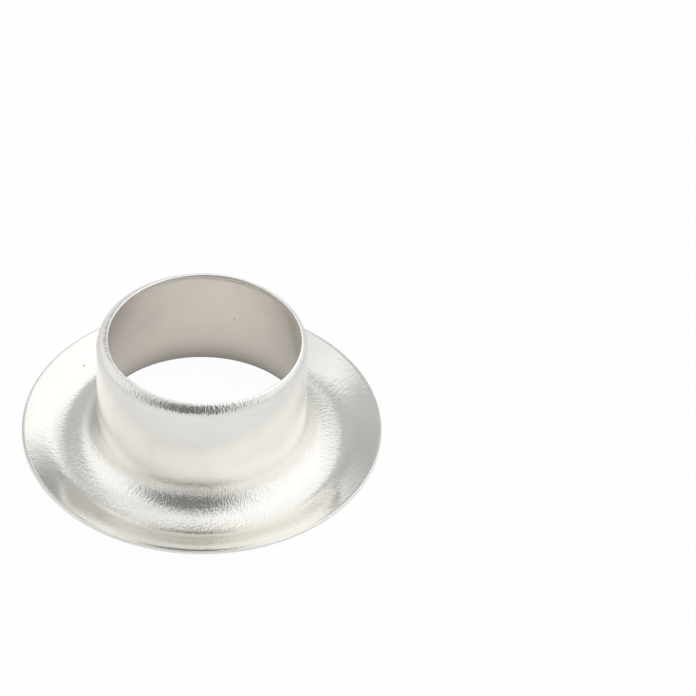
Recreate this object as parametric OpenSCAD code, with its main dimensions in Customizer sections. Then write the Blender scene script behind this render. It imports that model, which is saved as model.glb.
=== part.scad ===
/* [Sheet] */
// Thickness of the sheet that the eyelet is drawn from
sheet_t = 0.28; // [0.2:0.02:0.4]

/* [Barrel] */
// Diameter of the straight hole through the barrel
bore_d = 14; // [10:0.5:16]
// Height of the drawn cup on its axis, from the surface that the flange rests on
cup_h = 9.75; // [6:0.5:16]
// Inside radius of the shoulder that turns in at the mouth
shoulder_in_r = 0.77; // [0.4:0.05:1]

/* [Mouth] */
// How far the mouth's edge stands in from the wall of the hole, before the shift
mouth_lip = 0.36; // [0.25:0.05:1.5]
// How far the mouth was pierced off the barrel's axis
mouth_shift = 0.2; // [0:0.02:0.2]
// Direction of that shift, in degrees from +X
mouth_heading = -30; // [-180:10:180]
// How far the cup's end leans off square, in degrees, with its high side at -Y
end_lean = 0.9; // [0.1:0.1:2]

/* [Flange] */
// Outside diameter of the flange
flange_d = 25; // [23:0.5:34]
// Radius of the fillet between barrel and flange, on the barrel's side
fillet_r = 2.1; // [0.8:0.1:2.6]
// Slope, in degrees, at which the fillet hands over to the flange's inner part
fillet_slope = 19; // [15:1:35]
// Distance from the barrel's outer wall to the flange's lowest ring
trough_reach = 2.37; // [2.1:0.1:3.2]
// Radius of the trough along the lowest ring, on the barrel's side
trough_r = 1; // [0.6:0.1:2]
// Slope, in degrees, of the flange's inner part where the trough begins
inner_slope = 12; // [5:1:15]
// Slope, in degrees, at which the trough hands over to the rising flank
flank_slope = 16.5; // [8:0.5:22]
// Radius of the flank's foot, which still steepens, on the barrel's side
flank_r = 6.5; // [2:0.5:10]
// Steepest slope of the flank, in degrees
steep_slope = 25.2; // [23:0.2:32]
// Slope, in degrees, to which the flank has eased at the outside diameter
edge_slope = 20.8; // [12:0.2:23]
// Radius of the outer edge's corner on the barrel's side
edge_r = 0.1; // [0.05:0.01:0.18]

/* [Hidden] */
$fn = 180;
metal = [0.84, 0.83, 0.8];

// Point at a distance and a direction from a centre
function polar(c, r, a) = c + r * [cos(a), sin(a)];

// Radii of the barrel, the mouth, the flange's lowest ring and its outside
bore_r = bore_d / 2;
wall_r = bore_r + sheet_t;
mouth_r = bore_r - mouth_lip;
low_r = wall_r + trough_reach;
flange_r = flange_d / 2;

// Trough: its arc's centre, with the underside of the lowest ring at height zero
trough_c = [low_r, sheet_t + trough_r];

// Inner part of the flange: the wide arc that is left between fillet and trough
inner_run = trough_reach - fillet_r * (1 - sin(fillet_slope)) - trough_r * sin(inner_slope);
inner_r = inner_run / (sin(fillet_slope) - sin(inner_slope));
inner_c = polar(trough_c, inner_r - trough_r, 90 - inner_slope);

// Fillet between the flange and the barrel
fillet_c = polar(inner_c, fillet_r - inner_r, 90 - fillet_slope);

// Flank: a foot that steepens, then a crest that eases again up to the edge
flank_c = polar(trough_c, flank_r - trough_r, 90 + flank_slope);
crest_run = flange_r - flank_c[0] - flank_r * sin(steep_slope);
crest_r = crest_run / (sin(steep_slope) - sin(edge_slope));
crest_c = polar(flank_c, flank_r + crest_r, steep_slope - 90);

// Rounded corner of the outer edge: centre, and its direction from the crest's centre
edge_c_reach = crest_r - edge_r;
edge_c_r = flange_r - edge_r;
edge_c = [edge_c_r, crest_c[1] + sqrt(pow(edge_c_reach, 2) - pow(edge_c_r - crest_c[0], 2))];
edge_dir = (edge_c - crest_c) / edge_c_reach;

// Centre of the shoulder's arc, and the height at which the cup's end starts to lean
shoulder_c = [bore_r - shoulder_in_r, cup_h - sheet_t - shoulder_in_r];
lean_rise = wall_r * tan(end_lean);
lean_h = shoulder_c[1] - lean_rise;

// How far cutting outlines stand clear of the sheet, and the cutting block's size
clear = 0.1;
block_w = 3 * flange_d;

// Bent stretch of sheet: an arc with its hollow side's radius, between two directions
module bend(c, hollow_r, from, to) {
    near = hollow_r - clear;
    far = hollow_r + sheet_t + clear;
    corner = far / cos((to - from) / 2);
    intersection() {
        translate(c)
            difference() {
                circle(r = hollow_r + sheet_t);
                circle(r = hollow_r);
            }
        polygon([
            polar(c, near, from),
            polar(c, far, from),
            polar(c, corner, (from + to) / 2),
            polar(c, far, to),
            polar(c, near, to)
        ]);
    }
}

// Straight wall of the barrel between two heights
module wall(from, to) {
    polygon([[bore_r, from], [wall_r, from], [wall_r, to], [bore_r, to]]);
}

// Flat end of the drawn cup, reaching past what the mouth's punch takes out
module cup_end() {
    inner = min(mouth_r - mouth_shift, shoulder_c[0]) - sheet_t;
    polygon([
        [inner, cup_h - sheet_t],
        [shoulder_c[0], cup_h - sheet_t],
        [shoulder_c[0], cup_h],
        [inner, cup_h]
    ]);
}

// What the shears take off round the flange, beside the rounded corner of its edge
module edge_waste() {
    past = edge_r + sheet_t;
    top = edge_c[1] + 2 * past;
    foot = edge_c[1] - 4 * past;
    difference() {
        polygon([
            edge_c,
            edge_c + 2 * past * edge_dir,
            [flange_r + past, top],
            [flange_r + past, foot],
            [flange_r, foot],
            [flange_r, edge_c[1]]
        ]);
        translate(edge_c)
            circle(r = edge_r);
    }
}

// Crest of the flank, cut to the flange's diameter with its corner rounded
module crest() {
    end = acos((flange_r + sheet_t - crest_c[0]) / crest_r);
    difference() {
        bend(crest_c, crest_r - sheet_t, end, 90 + steep_slope);
        edge_waste();
    }
}

// Half section of the flange and of the straight part of the barrel
module lower_section() {
    wall(fillet_c[1], shoulder_c[1]);
    bend(fillet_c, fillet_r, 180, 270 - fillet_slope);
    bend(inner_c, inner_r, 270 - fillet_slope, 270 - inner_slope);
    bend(trough_c, trough_r, 270 - inner_slope, 270 + flank_slope);
    bend(flank_c, flank_r, 270 + flank_slope, 270 + steep_slope);
    crest();
}

// Half section of the cup's end, before the mouth is pierced
module end_section() {
    wall(lean_h - lean_rise, shoulder_c[1]);
    bend(shoulder_c, shoulder_in_r, 0, 90);
    cup_end();
}

// Leans what is drawn round the point on the axis where the cup's end starts
module leaning(angle) {
    translate([0, 0, lean_h])
        rotate([-angle, 0, 0])
            translate([0, 0, -lean_h])
                children();
}

// Block above the plane in which the straight barrel and the leaning end meet
module above_joint() {
    leaning(end_lean / 2)
        translate([-block_w / 2, -block_w / 2, lean_h])
            cube([block_w, block_w, cup_h]);
}

// Punch that pierces the mouth, beside the barrel's axis
module mouth_punch() {
    rotate([0, 0, mouth_heading])
        translate([mouth_shift, 0, shoulder_c[1]])
            cylinder(h = cup_h, r = mouth_r);
}

// The whole eyelet: one piece of sheet, drawn and then pierced
module eyelet() {
    color(metal)
        difference() {
            union() {
                difference() {
                    rotate_extrude()
                        lower_section();
                    above_joint();
                }
                intersection() {
                    leaning(end_lean)
                        rotate_extrude()
                            end_section();
                    above_joint();
                }
            }
            mouth_punch();
        }
}

eyelet();
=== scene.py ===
"""Studio scene of a plated eyelet: one drawn piece of sheet metal on a white floor.

The eyelet is made the way the press makes it. Its section is drawn bend by bend,
turned once round the barrel's axis, and the mouth is pierced and trimmed after that.
Lengths are in millimetres until the finished mesh is brought to metres.
"""

import logging
import math
from collections.abc import Iterable
from dataclasses import dataclass, field
from enum import Enum

import bmesh
import bpy
from bmesh.types import BMEdge, BMesh, BMVert
from bpy.types import Material, Node, NodeSocket, NodeTree, Object
from mathutils import Matrix, Vector


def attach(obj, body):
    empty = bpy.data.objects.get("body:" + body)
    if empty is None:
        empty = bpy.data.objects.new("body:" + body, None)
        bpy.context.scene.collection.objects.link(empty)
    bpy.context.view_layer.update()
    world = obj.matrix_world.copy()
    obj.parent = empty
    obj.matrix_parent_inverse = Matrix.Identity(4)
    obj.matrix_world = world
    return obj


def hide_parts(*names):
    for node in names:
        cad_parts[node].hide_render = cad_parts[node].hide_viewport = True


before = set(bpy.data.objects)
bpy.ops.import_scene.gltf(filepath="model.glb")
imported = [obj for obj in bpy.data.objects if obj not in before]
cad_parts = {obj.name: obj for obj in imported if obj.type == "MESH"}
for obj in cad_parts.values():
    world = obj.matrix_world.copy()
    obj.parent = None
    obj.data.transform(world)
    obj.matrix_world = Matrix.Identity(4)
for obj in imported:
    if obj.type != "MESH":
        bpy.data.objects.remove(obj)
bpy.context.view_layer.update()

log = logging.getLogger("eyelet")

Point = tuple[float, float]
Span = tuple[float, float]
Colour = tuple[float, float, float]

MM = 0.001
WHITE = (1.0, 1.0, 1.0, 1.0)

# Steps of the mesh: round the axis, along a bend, and along the sheared edge
TURN_STEPS = 288
STEP = 0.075
FINE_STEP = 0.0125

# Two points nearer than this are one, and heights that differ by less are the same
WELD = 2e-4
SAME_HEIGHT = 1e-4

# Digits that two directions round the axis share when they are the same
AZIMUTH_DIGITS = 5

# The least turn between two faces that makes a corner of the press's cuts
SHARP_TURN = math.radians(20)
CORNER_STEPS = 3

# Width of the photograph in pixels
FRAME_PIXELS = 696


class Operation(Enum):
    """Maths that a shader value can be put through."""

    ADD = "ADD"
    SUBTRACT = "SUBTRACT"
    MULTIPLY = "MULTIPLY"
    DIVIDE = "DIVIDE"
    MAXIMUM = "MAXIMUM"
    MINIMUM = "MINIMUM"
    SQRT = "SQRT"
    ARCTAN2 = "ARCTAN2"
    ARCSINE = "ARCSINE"
    WRAP = "WRAP"


class Side(Enum):
    """The two faces of the sheet."""

    BARREL = "outside of the barrel"
    BORE = "inside of the barrel"


class Value:
    """A shader socket that takes part in Python expressions."""

    def __init__(self, tree: "ShaderTree", socket: NodeSocket) -> None:
        """Keeps the socket and the tree it belongs to.

        Args:
            tree: The tree that new maths is added to.
            socket: The output that holds the value.
        """
        self.tree = tree
        self.socket = socket

    def __add__(self, other: "Value | float") -> "Value":
        """Returns self + other."""
        return self.tree.maths(Operation.ADD, self, other)

    def __radd__(self, other: float) -> "Value":
        """Returns other + self."""
        return self.tree.maths(Operation.ADD, other, self)

    def __sub__(self, other: "Value | float") -> "Value":
        """Returns self - other."""
        return self.tree.maths(Operation.SUBTRACT, self, other)

    def __rsub__(self, other: float) -> "Value":
        """Returns other - self."""
        return self.tree.maths(Operation.SUBTRACT, other, self)

    def __mul__(self, other: "Value | float") -> "Value":
        """Returns self * other."""
        return self.tree.maths(Operation.MULTIPLY, self, other)

    def __rmul__(self, other: float) -> "Value":
        """Returns other * self."""
        return self.tree.maths(Operation.MULTIPLY, other, self)

    def __truediv__(self, other: "Value | float") -> "Value":
        """Returns self / other."""
        return self.tree.maths(Operation.DIVIDE, self, other)

    def __rtruediv__(self, other: float) -> "Value":
        """Returns other / self."""
        return self.tree.maths(Operation.DIVIDE, other, self)


class ShaderTree:
    """Adds nodes to a node tree through a few short calls."""

    def __init__(self, tree: NodeTree) -> None:
        """Takes over a node tree and clears it.

        Args:
            tree: The node tree of a material or a world.
        """
        self.tree = tree
        self.tree.nodes.clear()

    def node(
        self,
        kind: str,
        settings: dict[str, object] | None = None,
        inputs: dict[str | int, object] | None = None,
    ) -> Node:
        """Adds one node, makes its settings, then fills its sockets.

        Args:
            kind: The node's type name.
            settings: Attributes to set before the sockets are filled.
            inputs: Numbers or links by socket name or place.

        Returns:
            The new node.
        """
        node = self.tree.nodes.new(kind)
        for name, setting in (settings or {}).items():
            setattr(node, name, setting)
        for key, content in (inputs or {}).items():
            self.fill(node.inputs[key], content)
        return node

    def fill(self, socket: NodeSocket, content: object) -> None:
        """Links a value to a socket, or sets the socket's own number.

        Args:
            socket: The input to fill.
            content: A Value, an output socket, a number or a tuple.
        """
        if isinstance(content, Value):
            self.tree.links.new(content.socket, socket)
        elif isinstance(content, NodeSocket):
            self.tree.links.new(content, socket)
        else:
            socket.default_value = content

    def value(self, node: Node, output: str | int = 0) -> Value:
        """Returns one of a node's outputs as a Value."""
        return Value(self, node.outputs[output])

    def maths(
        self,
        operation: Operation,
        first: Value | float,
        second: Value | float = 0.0,
        third: Value | float = 0.0,
    ) -> Value:
        """Returns the result of one Math node."""
        inputs = {0: first, 1: second, 2: third}
        return self.value(self.node("ShaderNodeMath", {"operation": operation.value}, inputs))

    def most(self, first: Value | float, second: Value | float) -> Value:
        """Returns the larger of two values."""
        return self.maths(Operation.MAXIMUM, first, second)

    def length(self, along: Value, aside: Value) -> Value:
        """Returns the length of a flat vector."""
        return self.maths(Operation.SQRT, along * along + aside * aside)

    def blend(self, low: Value | float, high: Value | float, share: Value) -> Value:
        """Returns low where share is 0 and high where it is 1."""
        inputs = {"Factor": share, 2: low, 3: high}
        return self.value(self.node("ShaderNodeMix", {"data_type": "FLOAT"}, inputs))

    def tint(
        self, low: Colour | NodeSocket, high: Colour | NodeSocket, share: Value
    ) -> NodeSocket:
        """Blends two colours.

        Args:
            low: The colour where share is 0.
            high: The colour where share is 1.
            share: A value from 0 to 1.

        Returns:
            The blended colour.
        """
        ends = [(*end, 1.0) if isinstance(end, tuple) else end for end in (low, high)]
        inputs = {"Factor": share, "A": ends[0], "B": ends[1]}
        return self.node("ShaderNodeMix", {"data_type": "RGBA"}, inputs).outputs["Result"]

    def step(self, value: Value, low: float, high: float) -> Value:
        """Returns a smooth step.

        Args:
            value: The value that decides.
            low: Where the step is 0.
            high: Where the step is 1; it may lie below low.

        Returns:
            A value from 0 to 1.
        """
        rising = high > low
        inputs = {
            "Value": value,
            "From Min": min(low, high),
            "From Max": max(low, high),
            "To Min": 0.0 if rising else 1.0,
            "To Max": 1.0 if rising else 0.0,
        }
        settings = {"interpolation_type": "SMOOTHSTEP", "clamp": True}
        return self.value(self.node("ShaderNodeMapRange", settings, inputs))

    def step_from(self, origin: float, value: Value, span: Span) -> Value:
        """Returns a smooth step whose two ends are counted from an origin."""
        return self.step(value, origin + span[0], origin + span[1])

    def noise(self, point: NodeSocket, detail: float, distortion: float = 0.0) -> Value:
        """Returns noise round zero, with features about one unit wide."""
        inputs = {"Vector": point, "Scale": 1.0, "Detail": detail, "Distortion": distortion}
        return self.value(self.node("ShaderNodeTexNoise", None, inputs)) - 0.5


def new_material(name: str) -> tuple[Material, ShaderTree]:
    """Starts a material.

    Args:
        name: The material's name.

    Returns:
        The material, and its empty tree.
    """
    material = bpy.data.materials.new(name)
    material.use_nodes = True
    return material, ShaderTree(material.node_tree)


def new_piece(name: str, mesh: BMesh, material: Material) -> Object:
    """Puts a finished mesh into the scene.

    Args:
        name: The piece's name.
        mesh: The finished mesh, in metres, which is used up.
        material: What the piece is made of.

    Returns:
        The piece.
    """
    data = bpy.data.meshes.new(name)
    mesh.to_mesh(data)
    mesh.free()
    data.materials.append(material)
    piece = bpy.data.objects.new(name, data)
    bpy.context.scene.collection.objects.link(piece)
    return piece


class SectionPen:
    """Draws one line of the half section, in the plane of the X and Z axes."""

    def __init__(self, mesh: BMesh, start: Point) -> None:
        """Sets the pen down.

        Args:
            mesh: The mesh that is drawn in.
            start: Radius and height of the first point.
        """
        self.mesh = mesh
        self.tip: BMVert = mesh.verts.new((start[0], 0.0, start[1]))

    def line(self, end: Point) -> None:
        """Draws straight on.

        Args:
            end: Radius and height of the next point.
        """
        drawn = bmesh.ops.extrude_vert_indiv(self.mesh, verts=[self.tip])
        self.tip = drawn["verts"][0]
        self.tip.co = Vector((end[0], 0.0, end[1]))

    def arc(self, centre: Point, degrees: float, step: float) -> None:
        """Draws on along an arc.

        Args:
            centre: Radius and height of the arc's centre.
            degrees: How far to turn, anticlockwise where X points right.
            step: Length of each straight step.
        """
        reach = math.hypot(self.tip.co.x - centre[0], self.tip.co.z - centre[1])
        drawn = bmesh.ops.spin(
            self.mesh,
            geom=[self.tip],
            cent=(centre[0], 0.0, centre[1]),
            axis=(0.0, -1.0, 0.0),
            angle=math.radians(degrees),
            steps=max(2, round(reach * abs(math.radians(degrees)) / step)),
            use_merge=False,
            use_duplicate=False,
        )
        self.tip = next(v for v in drawn["geom_last"] if isinstance(v, BMVert))


@dataclass(frozen=True)
class Mouth:
    """The mouth: pierced straight down, a little off the axis, in an end that leans.

    The lip is how far its wall stands inside the bore, and the land is the narrow
    flat round its upper edge. Angles are in degrees, and the heading of its shift is
    counted from the eyelet's right.
    """

    lip: float = 0.36
    shift: float = 0.2
    heading: float = -30.0
    end_lean: float = 0.9
    corner: float = 0.05
    land: float = 0.12


@dataclass(frozen=True)
class Flange:
    """The flange: a fillet, a gentle inner part, a trough and a rising flank.

    Its outside diameter was sheared, which rolls the edge over a little. Slopes and
    turns are in degrees.
    """

    radius: float = 12.5
    fillet_r: float = 2.1
    fillet_slope: float = 19.0
    trough_reach: float = 2.37
    trough_r: float = 1.0
    inner_slope: float = 12.0
    flank_slope: float = 16.5
    flank_r: float = 6.5
    steep_slope: float = 25.2
    edge_slope: float = 20.8
    roll_r: float = 0.5
    roll_turn: float = 22.0
    edge_r: float = 0.06


@dataclass(frozen=True)
class SheetSection:
    """Sizes of the drawn sheet, and where each bend of its section is centred.

    The last four fields shape the mesh: how far below the shoulder and above the
    fillet the straight wall has its rings, and how far above the fillet and how many
    times over the bends are eased into each other.
    """

    sheet: float = 0.28
    bore_r: float = 7.0
    cup_h: float = 9.75
    shoulder_in_r: float = 0.77
    mouth: Mouth = field(default_factory=Mouth)
    flange: Flange = field(default_factory=Flange)
    top_rings: tuple[float, ...] = (0.25, 0.6)
    foot_rings: tuple[float, ...] = (0.6, 0.2, 0.13, 0.06, 0.0)
    ease_reach: float = 0.3
    ease_passes: int = 14

    @property
    def wall_r(self) -> float:
        """Returns the radius of the barrel's outside."""
        return self.bore_r + self.sheet

    @property
    def mouth_r(self) -> float:
        """Returns the radius of the pierced mouth."""
        return self.bore_r - self.mouth.lip

    @property
    def mouth_c(self) -> Point:
        """Returns where the mouth is centred, seen from above."""
        return self.beyond((0.0, 0.0), self.mouth.shift, self.mouth.heading)

    @property
    def low_r(self) -> float:
        """Returns the radius of the flange's lowest ring."""
        return self.wall_r + self.flange.trough_reach

    @property
    def inner_r(self) -> float:
        """Works out the bend between the fillet and the trough.

        Returns:
            Its hollow radius.
        """
        flange = self.flange
        steep = math.sin(math.radians(flange.fillet_slope))
        gentle = math.sin(math.radians(flange.inner_slope))
        rest = flange.trough_reach - flange.fillet_r * (1 - steep) - flange.trough_r * gentle
        return rest / (steep - gentle)

    @property
    def crest_r(self) -> float:
        """Works out the bend that the flank eases with, up to the edge.

        Returns:
            Its radius.
        """
        steep = math.sin(math.radians(self.flange.steep_slope))
        gentle = math.sin(math.radians(self.flange.edge_slope))
        run = self.flange.radius - self.flank_c[0] - self.flange.flank_r * steep
        return run / (steep - gentle)

    @property
    def trough_c(self) -> Point:
        """Returns the centre of the trough's bend."""
        return self.low_r, self.sheet + self.flange.trough_r

    @property
    def inner_c(self) -> Point:
        """Returns the centre of the bend between the fillet and the trough."""
        reach = self.inner_r - self.flange.trough_r
        return self.beyond(self.trough_c, reach, 90 - self.flange.inner_slope)

    @property
    def fillet_c(self) -> Point:
        """Returns the centre of the fillet's bend."""
        reach = self.flange.fillet_r - self.inner_r
        return self.beyond(self.inner_c, reach, 90 - self.flange.fillet_slope)

    @property
    def flank_c(self) -> Point:
        """Returns the centre of the flank's foot."""
        reach = self.flange.flank_r - self.flange.trough_r
        return self.beyond(self.trough_c, reach, 90 + self.flange.flank_slope)

    @property
    def crest_c(self) -> Point:
        """Returns the centre that the flank eases round, below the flange."""
        reach = self.flange.flank_r + self.crest_r
        return self.beyond(self.flank_c, reach, self.flange.steep_slope - 90)

    @property
    def shoulder_c(self) -> Point:
        """Returns the centre of the shoulder's bend."""
        height = self.cup_h - self.sheet - self.shoulder_in_r
        return self.bore_r - self.shoulder_in_r, height

    @property
    def inner_top(self) -> float:
        """Returns the height that only the barrel's face of the shoulder rises above."""
        return self.shoulder_c[1] + self.shoulder_in_r

    @property
    def lean_h(self) -> float:
        """Returns the height on the axis that the cup's end leans round."""
        lean = math.radians(self.mouth.end_lean)
        return self.shoulder_c[1] - self.wall_r * math.tan(lean)

    @property
    def roll_start(self) -> float:
        """Works out where the rolled edge leaves the crest.

        Returns:
            The direction from the crest's centre, in degrees.
        """
        flange = self.flange
        turn = math.radians(flange.roll_turn)
        along = self.crest_r - flange.roll_r + (flange.roll_r - flange.edge_r) * math.cos(turn)
        aside = (flange.roll_r - flange.edge_r) * math.sin(turn)
        run = flange.radius - flange.edge_r - self.crest_c[0]
        return math.degrees(math.atan2(aside, along) + math.acos(run / math.hypot(along, aside)))

    @property
    def roll_c(self) -> Point:
        """Returns the centre of the rolled edge's bend."""
        return self.beyond(self.crest_c, self.crest_r - self.flange.roll_r, self.roll_start)

    @property
    def edge_c(self) -> Point:
        """Returns the centre of the corner that ends the rolled edge."""
        reach = self.flange.roll_r - self.flange.edge_r
        return self.beyond(self.roll_c, reach, self.roll_start - self.flange.roll_turn)

    @property
    def edge_foot(self) -> Point:
        """Returns the lower corner of the outer edge."""
        return self.flange.radius, self.crest_height(self.crest_r - self.sheet)

    @property
    def edge_plane(self) -> float:
        """Returns the height at which the flange's outline lies as a whole."""
        return (self.edge_foot[1] + self.crest_height(self.crest_r)) / 2

    @staticmethod
    def beyond(point: Point, reach: float, degrees: float) -> Point:
        """Returns the point at a reach and a direction from another."""
        angle = math.radians(degrees)
        return point[0] + reach * math.cos(angle), point[1] + reach * math.sin(angle)

    @staticmethod
    def direction(start: Point, end: Point) -> float:
        """Returns the direction from one point to another, in degrees."""
        return math.degrees(math.atan2(end[1] - start[1], end[0] - start[0]))

    def crest_height(self, reach: float) -> float:
        """Returns how high an arc of a given reach round the crest's centre ends."""
        run = self.flange.radius - self.crest_c[0]
        return self.crest_c[1] + math.sqrt(reach**2 - run**2)

    def draw(self, mesh: BMesh, side: Side) -> None:
        """Draws one face of the sheet, from the mouth to the flange's edge.

        Args:
            mesh: The mesh that is drawn in.
            side: Which face of the sheet.
        """
        flange = self.flange
        outside = side is Side.BARREL
        wall_r = self.wall_r if outside else self.bore_r
        turn = self.drawn_turn(side)
        pen = SectionPen(mesh, self.beyond(self.shoulder_c, wall_r - self.shoulder_c[0], turn))
        pen.arc(self.shoulder_c, -turn, STEP)
        for below in self.top_rings:
            pen.line((wall_r, self.shoulder_c[1] - below))
        for above in self.foot_rings:
            pen.line((wall_r, self.fillet_c[1] + above))
        pen.arc(self.fillet_c, 90 - flange.fillet_slope, STEP)
        pen.arc(self.inner_c, flange.fillet_slope - flange.inner_slope, STEP)
        pen.arc(self.trough_c, flange.inner_slope + flange.flank_slope, STEP)
        pen.arc(self.flank_c, flange.steep_slope - flange.flank_slope, STEP)
        end = self.roll_start if outside else self.direction(self.crest_c, self.edge_foot)
        pen.arc(self.crest_c, end - 90 - flange.steep_slope, STEP)
        self.ease(mesh)
        if outside:
            pen.arc(self.roll_c, -flange.roll_turn, 2 * FINE_STEP)
            pen.arc(self.edge_c, flange.roll_turn - end, FINE_STEP)

    def ease(self, mesh: BMesh) -> None:
        """Lets the flange's bends run into each other, as drawn sheet does.

        Args:
            mesh: The mesh that holds one face's line.
        """
        bends = [
            vert
            for vert in mesh.verts
            if vert.co.z < self.fillet_c[1] + self.ease_reach
            and len(vert.link_edges) == 2
            and all(edge.calc_length() < 2 * STEP for edge in vert.link_edges)
        ]
        for _ in range(self.ease_passes):
            bmesh.ops.smooth_vert(
                mesh, verts=bends, factor=0.5, use_axis_x=True, use_axis_z=True
            )

    def mouth_reach(self, azimuth: float) -> float:
        """Works out how far the mouth's wall is from the axis.

        Args:
            azimuth: Direction round the axis, in radians.

        Returns:
            The distance in that direction.
        """
        turn = azimuth - math.radians(self.mouth.heading)
        aside = self.mouth.shift * math.sin(turn)
        return self.mouth.shift * math.cos(turn) + math.sqrt(self.mouth_r**2 - aside**2)

    def shoulder_r(self, side: Side) -> float:
        """Returns the radius of the shoulder's bend on one face of the sheet."""
        return self.shoulder_in_r + (self.sheet if side is Side.BARREL else 0.0)

    def shoulder_turn(self, side: Side, azimuth: float) -> float:
        """Works out where the mouth ends the shoulder's bend.

        Args:
            side: Which face of the sheet.
            azimuth: Direction round the axis, in radians.

        Returns:
            The angle above the horizontal, in degrees, seen from the shoulder's centre.
        """
        run = self.mouth_reach(azimuth) - self.shoulder_c[0]
        return math.degrees(math.acos(run / self.shoulder_r(side)))

    def drawn_turn(self, side: Side) -> float:
        """Returns the angle that the shoulder is drawn to, midway round the mouth."""
        return self.shoulder_turn(side, math.radians(self.mouth.heading + 90))


@dataclass(frozen=True)
class Reaches:
    """How far each part of the sheet reaches, as the finish sees it.

    Each span runs from where the part isn't yet to where it is in full.
    """

    # Heights from the shoulder's centre
    shoulder: Span = (-0.25, 0.15)
    # The turned-in part takes a painted dark reflection
    turned_in: Span = (0.05, 0.6)
    mouth_foot: Span = (0.0, 0.1)

    # Heights from the fillet's centre
    barrel: Span = (-0.3, 0.5)
    fillet_top: Span = (0.7, -0.9)
    flange_top: Span = (0.7, -0.4)

    # Distances from the flange's lowest ring
    fillet_foot: Span = (0.9, -0.6)
    flange_start: Span = (-2.2, -0.4)
    trough_end: Span = (1.9, 1.0)

    # Distances from the flange's outside radius
    edge: Span = (-0.8, -0.3)
    edge_cut: Span = (-0.05, -0.02)

    # Distances from the mouth's wall, and from the barrel's outside
    mouth_wall: Span = (0.14, 0.11)
    bore_foot: Span = (1.32, 0.52)

    # Distances from the hole's face of the fillet
    bore_face: Span = (-0.18, -0.1)

    # Heights from the floor, inside the hole, over which painted shade darkens the bore and a
    # painted shadow line lies at its foot
    deep: Span = (3.9, 0.3)
    foot: Span = (1.25, 0.8)


class SheetPlace:
    """The place on the sheet that a material is asked about.

    Each part of the sheet is a value from 0 to 1, which says how far the place
    belongs to that part.
    """

    def __init__(self, tree: ShaderTree, section: SheetSection, reaches: Reaches) -> None:
        """Reads the place, and finds the parts of the sheet that it lies on.

        Args:
            tree: The material's tree.
            section: The sheet's sizes, which say where the bends are.
            reaches: How far each part reaches.
        """
        self.tree = tree
        self.point = tree.node("ShaderNodeTexCoord").outputs["Object"]
        parts = tree.node("ShaderNodeSeparateXYZ", None, {0: self.point})
        self.x, self.y, self.z = (tree.value(parts, i) / MM for i in range(3))
        self.radius = tree.length(self.x, self.y)
        shoulder_h, fillet_h = section.shoulder_c[1], section.fillet_c[1]
        self.shoulder = tree.step_from(shoulder_h, self.z, reaches.shoulder)
        # Where the shoulder turns in, which takes a painted dark reflection
        self.turned_in = tree.step_from(shoulder_h, self.z, reaches.turned_in)
        self.barrel = tree.step_from(fillet_h, self.z, reaches.barrel)
        self.fillet = tree.step_from(fillet_h, self.z, reaches.fillet_top) * tree.step_from(
            section.low_r, self.radius, reaches.fillet_foot
        )
        self.flange = tree.step_from(
            section.low_r, self.radius, reaches.flange_start
        ) * tree.step_from(fillet_h, self.z, reaches.flange_top)
        self.trough = tree.step_from(section.low_r, self.radius, reaches.trough_end)
        self.edge = tree.step_from(section.flange.radius, self.radius, reaches.edge)
        self.edge_cut = tree.step_from(section.flange.radius, self.radius, reaches.edge_cut)
        # Deep in the hole and at its foot, where painted shade and a painted shadow line go
        self.deep = tree.step(self.z, *reaches.deep)
        self.foot = tree.step(self.z, *reaches.foot)
        # The mouth's cut wall takes a painted highlight, and the hole's side painted light and
        # shade
        self.mouth = self.find_mouth(section, reaches)
        self.bore = self.find_bore(section, reaches)

    def find_mouth(self, section: SheetSection, reaches: Reaches) -> Value:
        """Finds the wall that the press cut at the mouth.

        Args:
            section: The sheet's sizes.
            reaches: How far each part reaches.

        Returns:
            1 on the mouth's wall and 0 beside it.
        """
        centre = section.mouth_c
        reach = self.tree.length(self.x - centre[0], self.y - centre[1])
        wall = self.tree.step_from(section.mouth_r, reach, reaches.mouth_wall)
        return wall * self.tree.step_from(section.shoulder_c[1], self.z, reaches.mouth_foot)

    def find_bore(self, section: SheetSection, reaches: Reaches) -> Value:
        """Finds the hole's side of the barrel and of the fillet's upper part.

        Args:
            section: The sheet's sizes.
            reaches: How far each part reaches.

        Returns:
            1 on that side and 0 on the other.
        """
        aside = self.tree.most(section.fillet_c[0] - self.radius, 0.0)
        below = self.tree.most(section.fillet_c[1] - self.z, 0.0)
        face = section.flange.fillet_r + section.sheet
        inside = self.tree.step_from(face, self.tree.length(aside, below), reaches.bore_face)
        return inside * self.tree.step_from(section.wall_r, self.radius, reaches.bore_foot)


@dataclass(frozen=True)
class Marks:
    """One kind of mark in the plating: its width, its length and its height."""

    width: float
    length: float
    height: float


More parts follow.
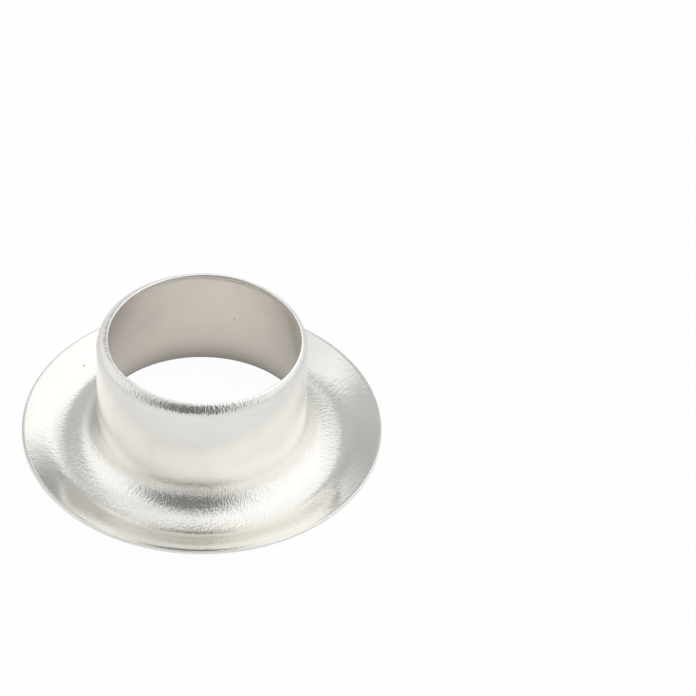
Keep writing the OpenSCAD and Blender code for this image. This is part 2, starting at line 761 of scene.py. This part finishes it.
@dataclass(frozen=True)
class SatinPlating:
    """Satin plating on drawn sheet: smooth walls, and short marks raised at the bends.

    The shares say how high the marks stand, where 1 is their full height. Light and shade are
    painted into the colour inside the bore, on the turned-in shoulder, on the mouth's cut wall
    and in the pin pricks.
    """

    name: str = "satin_plating"
    reaches: Reaches = field(default_factory=Reaches)

    # Colours of the plating, then painted light and shade: painted light inside the bore, painted
    # shade where it lies deep, a painted shadow at its foot, a painted dark reflection where the
    # shoulder turns in, and a painted highlight where the mouth was cut
    colour: Colour = (0.888, 0.878, 0.838)
    painted_bore_light_colour: Colour = (0.97, 0.92, 0.85)
    painted_deep_shade_colour: Colour = (0.58, 0.545, 0.5)
    painted_foot_shadow_colour: Colour = (0.4, 0.375, 0.345)
    painted_shoulder_shade_colour: Colour = (0.76, 0.752, 0.722)
    painted_cut_highlight_colour: Colour = (0.97, 0.96, 0.92)

    # A faint haze that lies on the plating in patches
    haze_colour: Colour = (0.6, 0.57, 0.52)
    haze_size: float = 2.6
    haze_detail: float = 3.0
    haze_span: Span = (-0.05, 0.3)
    haze_share: float = 0.16

    # Roughness, and how much of the fillet has its own
    roughness: float = 0.1
    wall_roughness: float = 0.19
    fillet_roughness: float = 0.21
    cut_roughness: float = 0.25
    fillet_span: Span = (0.0, 0.5)

    # Marks that drawing and plating leave, with their width at one radius
    strokes: Marks = Marks(width=0.125, length=0.42, height=0.027)
    worms: Marks = Marks(width=0.2, length=0.2, height=0.016)
    marks_radius: float = 7.6
    marks_detail: float = 0.6
    marks_distortion: float = 0.7
    wall_share: float = 0.08
    shoulder_extra: float = 0.6
    edge_share: float = 0.35
    flank_share: float = 0.4
    trough_extra: float = 0.55

    # Pin pricks, whose dark colour is painted shade, and the share of their radius that is as
    # deep as they get
    painted_pit_shade_colour: Colour = (0.3, 0.28, 0.25)
    pit_spacing: float = 2.0
    pit_radius: float = 0.075
    pit_core: float = 0.4
    pit_depth: float = 0.03

    def material(self, section: SheetSection) -> Material:
        """Builds the plating for a sheet of a given section.

        Args:
            section: The sheet's sizes, which say where the bends are.

        Returns:
            The material.
        """
        material, tree = new_material(self.name)
        place = SheetPlace(tree, section, self.reaches)
        pits = self.pits(tree, place)
        height = self.relief(tree, place) - pits * (self.pit_depth * MM)
        bump = tree.node(
            "ShaderNodeBump", None, {"Strength": 1.0, "Distance": 1.0, "Height": height}
        )
        inputs = {
            "Base Color": self.shade(tree, place, pits),
            "Metallic": 1.0,
            "Roughness": self.rough(tree, place),
            "Normal": bump.outputs[0],
        }
        shader = tree.node("ShaderNodeBsdfPrincipled", None, inputs)
        tree.node("ShaderNodeOutputMaterial", None, {"Surface": shader.outputs[0]})
        return material

    def relief(self, tree: ShaderTree, place: SheetPlace) -> Value:
        """Raises the marks where the sheet was bent most.

        Args:
            tree: The material's tree.
            place: The place on the sheet.

        Returns:
            The height of the marks in metres, round zero.
        """
        bent = tree.most(place.shoulder, place.fillet)
        worked = tree.most(bent, place.edge * self.edge_share)
        stroked = self.wall_share + (1 - self.wall_share) * worked
        stroked = stroked + place.shoulder * self.shoulder_extra
        flange = place.flange * (self.flank_share + self.trough_extra * place.trough)
        wormed = tree.most(place.fillet, flange) + place.shoulder * self.wall_share
        strokes = self.lay(tree, place, self.strokes) * stroked
        worms = self.lay(tree, place, self.worms) * wormed
        return (strokes + worms) * MM

    def lay(self, tree: ShaderTree, place: SheetPlace, marks: Marks) -> Value:
        """Lays marks along the sheet's section, all round the axis.

        Args:
            tree: The material's tree.
            place: The place on the sheet.
            marks: The marks' size.

        Returns:
            Their height round zero, about half of the full height each way.
        """
        turns = self.marks_radius / marks.width
        course = {
            0: place.x / place.radius * turns,
            1: place.y / place.radius * turns,
            2: (place.radius - place.z) / marks.length,
        }
        point = tree.node("ShaderNodeCombineXYZ", None, course).outputs[0]
        return tree.noise(point, self.marks_detail, self.marks_distortion) * marks.height

    def shade(self, tree: ShaderTree, place: SheetPlace, pits: Value) -> NodeSocket:
        """Colours the plating part by part, with painted light and shade inside the bore, on the
        shoulder, on the mouth's cut wall and in the pin pricks.

        Args:
            tree: The material's tree.
            place: The place on the sheet.
            pits: 1 in a pin prick, where painted shade darkens the colour.

        Returns:
            The colour.
        """
        # Painted lighter, warmer light inside the bore, fading to painted shade towards the
        # bottom
        inside = tree.tint(self.painted_bore_light_colour, self.painted_deep_shade_colour, place.deep)
        # Painted shadow line at the foot of the hole
        inside = tree.tint(inside, self.painted_foot_shadow_colour, place.foot)
        shade = tree.tint(self.colour, inside, place.bore)
        # Painted dark reflection on the turned-in shoulder, the plating's random haze, a painted
        # highlight on the mouth's cut wall and painted shade in the pin pricks
        for colour, share in (
            (self.painted_shoulder_shade_colour, place.turned_in),
            (self.haze_colour, self.haze(tree, place)),
            (self.painted_cut_highlight_colour, place.mouth),
            (self.painted_pit_shade_colour, pits),
        ):
            shade = tree.tint(shade, colour, share)
        return shade

    def haze(self, tree: ShaderTree, place: SheetPlace) -> Value:
        """Spreads the faint haze.

        Args:
            tree: The material's tree.
            place: The place on the sheet.

        Returns:
            How much of the haze lies at the place.
        """
        spread = {0: place.point, "Scale": 1 / (self.haze_size * MM)}
        point = tree.node("ShaderNodeVectorMath", {"operation": "SCALE"}, spread).outputs[0]
        patches = tree.noise(point, self.haze_detail)
        return tree.step(patches, *self.haze_span) * self.haze_share

    def rough(self, tree: ShaderTree, place: SheetPlace) -> Value:
        """Roughens the wall, the fillet and the cut faces.

        Args:
            tree: The material's tree.
            place: The place on the sheet.

        Returns:
            The roughness.
        """
        rough = tree.blend(self.roughness, self.wall_roughness, place.barrel)
        for roughness, share in (
            (self.roughness, place.shoulder),
            (self.fillet_roughness, tree.step(place.fillet, *self.fillet_span)),
            (self.cut_roughness, tree.most(place.mouth, place.edge_cut)),
        ):
            rough = tree.blend(rough, roughness, share)
        return rough

    def pits(self, tree: ShaderTree, place: SheetPlace) -> Value:
        """Scatters the few pin pricks of the plating.

        Args:
            tree: The material's tree.
            place: The place on the sheet.

        Returns:
            1 in a pin prick and 0 beside it.
        """
        scale = 1 / (self.pit_spacing * MM)
        inputs = {"Vector": place.point, "Scale": scale, "Randomness": 1.0}
        near = tree.value(tree.node("ShaderNodeTexVoronoi", None, inputs)) * self.pit_spacing
        return tree.step(near, self.pit_radius, self.pit_radius * self.pit_core)


@dataclass
class Eyelet:
    """The eyelet: barrel, mouth and flange of one drawn sheet."""

    section: SheetSection = field(default_factory=SheetSection)
    finish: SatinPlating = field(default_factory=SatinPlating)
    name: str = "eyelet_sheet"

    def build(self) -> None:
        """Makes the piece, dresses it and puts it in the CAD node's place."""
        mesh = bmesh.new()
        for side in Side:
            self.turn_face(mesh, side)
        self.close_mouth(mesh)
        self.close_edge(mesh)
        self.break_corners(mesh)
        self.lean_end(mesh)
        self.weld(mesh)
        bmesh.ops.recalc_face_normals(mesh, faces=mesh.faces[:])
        bmesh.ops.transform(mesh, matrix=Matrix.Scale(MM, 4), verts=mesh.verts[:])
        for face in mesh.faces:
            face.smooth = True
        piece = new_piece(self.name, mesh, self.finish.material(self.section))
        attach(piece, "root")
        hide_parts("eyelet")
        log.info("%s: %d faces", self.name, len(piece.data.polygons))

    def turn_face(self, mesh: BMesh, side: Side) -> None:
        """Draws one face of the sheet, turns it round the axis and pierces its end.

        Args:
            mesh: The mesh to add the face to.
            side: Which face of the sheet.
        """
        drawn = bmesh.new()
        self.section.draw(drawn, side)
        bmesh.ops.spin(
            drawn,
            geom=drawn.verts[:] + drawn.edges[:],
            cent=(0.0, 0.0, 0.0),
            axis=(0.0, 0.0, 1.0),
            angle=2 * math.pi,
            steps=TURN_STEPS,
            use_merge=True,
            use_duplicate=False,
        )
        self.pierce(drawn, side)
        holder = bpy.data.meshes.new("face")
        drawn.to_mesh(holder)
        drawn.free()
        mesh.from_mesh(holder)
        bpy.data.meshes.remove(holder)

    def pierce(self, mesh: BMesh, side: Side) -> None:
        """Slides the shoulder's rings along its bend, to end where the mouth is cut.

        Args:
            mesh: One face of the sheet.
            side: Which face it is.
        """
        section = self.section
        centre, height = section.shoulder_c
        stretch: dict[float, float] = {}
        for vert in mesh.verts:
            if vert.co.z <= height:
                continue
            azimuth = round(math.atan2(vert.co.y, vert.co.x), AZIMUTH_DIGITS)
            if azimuth not in stretch:
                drawn = section.drawn_turn(side)
                stretch[azimuth] = section.shoulder_turn(side, azimuth) / drawn
            radius = math.hypot(vert.co.x, vert.co.y) - centre
            reach = math.hypot(radius, vert.co.z - height)
            turn = math.degrees(math.atan2(vert.co.z - height, radius)) * stretch[azimuth]
            self.move_out(vert, *section.beyond((centre, height), reach, turn))

    @staticmethod
    def move_out(vert: BMVert, radius: float, height: float) -> None:
        """Moves a vertex to a radius and a height without turning it round the axis."""
        outward = Vector((vert.co.x, vert.co.y)).normalized()
        vert.co = Vector((outward.x * radius, outward.y * radius, height))

    def open_loops(self, mesh: BMesh, at_mouth: bool) -> list[BMEdge]:
        """Returns the open edges at the mouth, or those at the flange's edge."""
        height = self.section.shoulder_c[1]
        return [e for e in mesh.edges if e.is_boundary and (e.verts[0].co.z > height) is at_mouth]

    def close_mouth(self, mesh: BMesh) -> None:
        """Adds the pierced wall of the mouth, from the hole's face up to the barrel's.

        Args:
            mesh: Both faces of the sheet.
        """
        section = self.section
        outer = section.shoulder_r(Side.BARREL)
        rims = self.open_loops(mesh, True)
        lower = [edge for edge in rims if edge.verts[0].co.z < section.inner_top]
        drawn = bmesh.ops.extrude_edge_only(mesh, edges=lower)["geom"]
        for vert in (v for v in drawn if isinstance(v, BMVert)):
            turn = section.shoulder_turn(Side.BARREL, math.atan2(vert.co.y, vert.co.x))
            vert.co.z = section.beyond(section.shoulder_c, outer, turn)[1]
        self.weld(mesh)

    def lean_end(self, mesh: BMesh) -> None:
        """Leans the cup's end off square, with its high side at the front.

        Args:
            mesh: The closed sheet.
        """
        section = self.section
        end = [v for v in mesh.verts if v.co.z > section.shoulder_c[1] - SAME_HEIGHT]
        turn = Matrix.Rotation(-math.radians(section.mouth.end_lean), 3, "X")
        bmesh.ops.rotate(mesh, verts=end, cent=(0.0, 0.0, section.lean_h), matrix=turn)

    @staticmethod
    def weld(mesh: BMesh) -> None:
        """Merges vertices that lie at the same place."""
        bmesh.ops.remove_doubles(mesh, verts=mesh.verts[:], dist=WELD)

    def close_edge(self, mesh: BMesh) -> None:
        """Joins both faces of the sheet by the cut face at the outside diameter."""
        bmesh.ops.bridge_loops(mesh, edges=self.open_loops(mesh, False))

    def break_corners(self, mesh: BMesh) -> None:
        """Breaks the sharp corners that the press leaves, and sets a land round the mouth.

        Args:
            mesh: The closed sheet.
        """
        bmesh.ops.recalc_face_normals(mesh, faces=mesh.faces[:])
        mesh.normal_update()
        sharp = [
            edge
            for edge in mesh.edges
            if len(edge.link_faces) == 2 and edge.calc_face_angle(0.0) > SHARP_TURN
        ]
        section = self.section
        lip = [edge for edge in sharp if edge.verts[0].co.z > section.inner_top]
        rest = [edge for edge in sharp if edge.verts[0].co.z <= section.inner_top]
        for edges, offset, segments in (
            (rest, section.mouth.corner, CORNER_STEPS),
            (lip, section.mouth.land, 1),
        ):
            bmesh.ops.bevel(
                mesh,
                geom=edges,
                offset=offset,
                segments=segments,
                profile=0.5,
                affect="EDGES",
                material=-1,
                clamp_overlap=True,
            )


@dataclass(frozen=True)
class SoftZone:
    """A part of the studio that is darker or lighter than the rest, seen from the eyelet.

    Directions are in degrees: the heading from straight behind the eyelet towards
    its right, and the height above the floor. The softness is the share of the
    zone's size that its border fades over, inwards and outwards.
    """

    heading: float
    height: float
    half_width: float
    half_height: float
    softness: float
    level: float


@dataclass(frozen=True)
class Studio:
    """A white floor under one soft light, which has darker and lighter zones.

    The zones stand in for what surrounds the eyelet and shows in its plating. The
    floor looks white to the camera and has a level of its own in reflections. Its
    shadow is seen by the share that each of the two shadow fields gives.
    """

    open_level: float = 1.068
    floor_level: float = 0.9
    shadow_seen: float = 0.03
    shadow_reflected: float = 0.84
    floor_half: float = 600.0
    zones: tuple[SoftZone, ...] = (
        SoftZone(191.0, 24.5, 45.0, 48.0, 0.52, 0.225),
        SoftZone(-26.0, 34.5, 24.2, 25.0, 0.5, 0.5),
        SoftZone(16.0, 16.4, 15.5, 8.4, 0.93, 0.31),
        SoftZone(-97.6, 66.6, 55.3, 13.4, 0.95, 0.8),
        SoftZone(71.4, 43.7, 36.9, 38.8, 0.95, 1.2),
        SoftZone(-13.4, 38.0, 37.0, 9.0, 0.46, 0.57),
    )

    def light(self) -> None:
        """Lights the scene with a soft world, which the camera itself sees as white."""
        world = bpy.data.worlds.new("soft_studio")
        world.use_nodes = True
        tree = ShaderTree(world.node_tree)
        inputs = {"Color": WHITE, "Strength": self.surroundings(tree)}
        background = tree.node("ShaderNodeBackground", None, inputs)
        plain = tree.node("ShaderNodeBackground", None, {"Color": WHITE, "Strength": 1.0})
        seen = tree.node("ShaderNodeLightPath").outputs["Is Camera Ray"]
        inputs = {0: seen, 1: background.outputs[0], 2: plain.outputs[0]}
        shown = tree.node("ShaderNodeMixShader", None, inputs)
        tree.node("ShaderNodeOutputWorld", None, {"Surface": shown.outputs[0]})
        bpy.context.scene.world = world
        log.info("world: open level %.2f with %d zones", self.open_level, len(self.zones))

    def surroundings(self, tree: ShaderTree) -> Value | float:
        """Lays the zones over the open level, one after the other.

        Args:
            tree: The world's tree.

        Returns:
            How bright the world is in each direction.
        """
        direction = tree.node("ShaderNodeTexCoord").outputs["Generated"]
        parts = tree.node("ShaderNodeSeparateXYZ", None, {0: direction})
        x, y, z = (tree.value(parts, i) for i in range(3))
        heading = tree.maths(Operation.ARCTAN2, x, y) * math.degrees(1.0)
        bounded = tree.most(tree.maths(Operation.MINIMUM, z, 1.0), -1.0)
        height = tree.maths(Operation.ARCSINE, bounded) * math.degrees(1.0)
        level: Value | float = self.open_level
        for zone in self.zones:
            aside = tree.maths(Operation.WRAP, heading - zone.heading, 180.0, -180.0)
            above = (height - zone.height) / zone.half_height
            far = tree.length(aside / zone.half_width, above)
            share = tree.step(far, 1 + zone.softness, 1 - zone.softness)
            level = tree.blend(level, zone.level, share)
        return level

    def lay_floor(self) -> None:
        """Lays the white floor that the eyelet stands on."""
        mesh = bmesh.new()
        bmesh.ops.create_grid(mesh, x_segments=1, y_segments=1, size=self.floor_half * MM)
        floor = new_piece("floor", mesh, self.floor_material())
        log.info("floor: %.0f mm square", 2 * self.floor_half)

    def floor_material(self) -> Material:
        """Builds the floor's white, which keeps a faint shadow of what stands on it.

        Returns:
            The material.
        """
        material, tree = new_material("pale_floor")
        path = tree.node("ShaderNodeLightPath")
        camera, glossy, through = (
            tree.value(path, f"Is {kind} Ray") for kind in ("Camera", "Glossy", "Transmission")
        )
        strength = tree.blend(self.floor_level, 1.0, camera)
        white = tree.node("ShaderNodeEmission", None, {"Color": WHITE, "Strength": strength})
        matt = tree.node("ShaderNodeBsdfDiffuse", None, {"Color": WHITE})
        reflected = tree.most(glossy, through)
        share = camera * (1 - self.shadow_seen) + reflected * (1 - self.shadow_reflected)
        inputs = {0: share, 1: matt.outputs[0], 2: white.outputs[0]}
        shader = tree.node("ShaderNodeMixShader", None, inputs)
        tree.node("ShaderNodeOutputMaterial", None, {"Surface": shader.outputs[0]})
        return material


@dataclass(frozen=True)
class Viewpoint:
    """The camera: a long lens that looks down at the eyelet from the front.

    Angles are in degrees, the aim is a place on the level of the flange's outline,
    and the focal length is in pixels of the photograph.
    """

    elevation: float = 42.31
    roll: float = 1.395
    distance: float = 465.0
    aim_x: float = 10.01
    aim_y: float = 8.567
    focal_pixels: float = 6604.75
    sensor: float = 36.0

    def place(self, aim_z: float) -> None:
        """Places the camera and makes it the scene's own.

        Args:
            aim_z: Height of the plane that holds the point aimed at.
        """
        tilt, roll = math.radians(self.elevation), math.radians(self.roll)
        ahead = Vector((0.0, math.cos(tilt), -math.sin(tilt)))
        right = Vector((1.0, 0.0, 0.0))
        up = right.cross(ahead)
        across = right * math.cos(roll) + up * math.sin(roll)
        upward = up * math.cos(roll) - right * math.sin(roll)
        turn = Matrix((across, upward, -ahead)).transposed().to_4x4()
        aim = Vector((self.aim_x, self.aim_y, aim_z))
        data = bpy.data.cameras.new("camera")
        data.sensor_width = self.sensor
        data.lens = self.focal_pixels / FRAME_PIXELS * self.sensor
        camera = bpy.data.objects.new("camera", data)
        camera.matrix_world = Matrix.Translation((aim - ahead * self.distance) * MM) @ turn
        bpy.context.scene.collection.objects.link(camera)
        bpy.context.scene.camera = camera
        log.info("camera: %.1f mm lens at %.0f mm", data.lens, self.distance)


def main() -> None:
    """Builds the scene: eyelet, floor, light and camera."""
    logging.basicConfig(level=logging.INFO, format="%(name)s %(message)s")
    eyelet = Eyelet()
    eyelet.build()
    studio = Studio()
    studio.lay_floor()
    studio.light()
    Viewpoint().place(eyelet.section.edge_plane)
    bpy.context.scene.view_settings.view_transform = "Standard"


if __name__ == "__main__":
    main()
